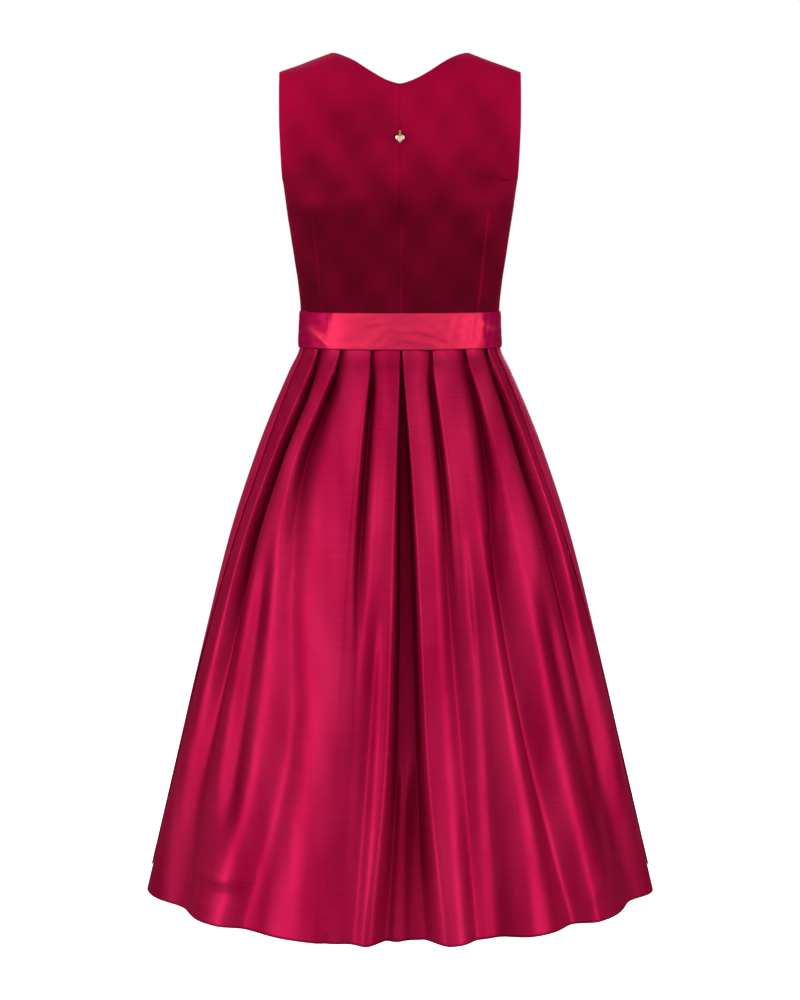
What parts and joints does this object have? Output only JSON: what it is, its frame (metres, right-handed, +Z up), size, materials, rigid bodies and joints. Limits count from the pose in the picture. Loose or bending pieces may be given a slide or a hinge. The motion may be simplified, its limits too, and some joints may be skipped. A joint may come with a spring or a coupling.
{
  "type": "dirndl dress with apron",
  "caption": "Sleeveless dirndl filled out as worn: velvet bodice, pleated midi satin skirt, satin apron with a ribbon tied in a bow, hanging heart charm.",
  "frame": {"origin": "midway between the shoulders, at the height where the straps lie on the wearer; the wearer carries the dress there", "axes": "+Z up, the front faces -Y, +X towards the wearer's left"},
  "size_m": [0.6764, 0.5923, 1.104],
  "materials": {
    "velvet": "crimson cotton velvet, short dense nap",
    "skirt_satin": "crimson duchesse satin with a fine dotted jacquard",
    "apron_satin": "raspberry satin",
    "ribbon_satin": "coral red satin ribbon",
    "thread": "twisted sewing thread",
    "pale_gold": "polished pale gold plating"
  },
  "bodies": {
    "dress": {"bodice_back_left": "velvet", "bodice_back_right": "velvet", "bodice_front_left": "velvet", "bodice_front_right": "velvet", "skirt_back": "skirt_satin", "skirt_front": "skirt_satin", "apron": "apron_satin", "waist_ribbon": "ribbon_satin", "bow_knot": "ribbon_satin", "bow_loop_left": "ribbon_satin", "bow_loop_right": "ribbon_satin", "bow_tail_left": "ribbon_satin", "bow_tail_right": "ribbon_satin", "charm_thread_bar": "thread"},
    "ring": {"charm_ring": "pale_gold"},
    "heart": {"heart_charm": "pale_gold"}
  },
  "joints": [
    {"name": "ring_lift", "type": "hinge", "parent": "dress", "child": "ring", "pos_m": [0, 0.09647, -0.092], "axis": [1, 0, 0], "range_deg": [0, 100]},
    {"name": "charm_swing", "type": "hinge", "parent": "ring", "child": "heart", "pos_m": [0, 0.09647, -0.09565], "axis": [0, 1, 0], "range_deg": [-40, 40]}
  ]
}
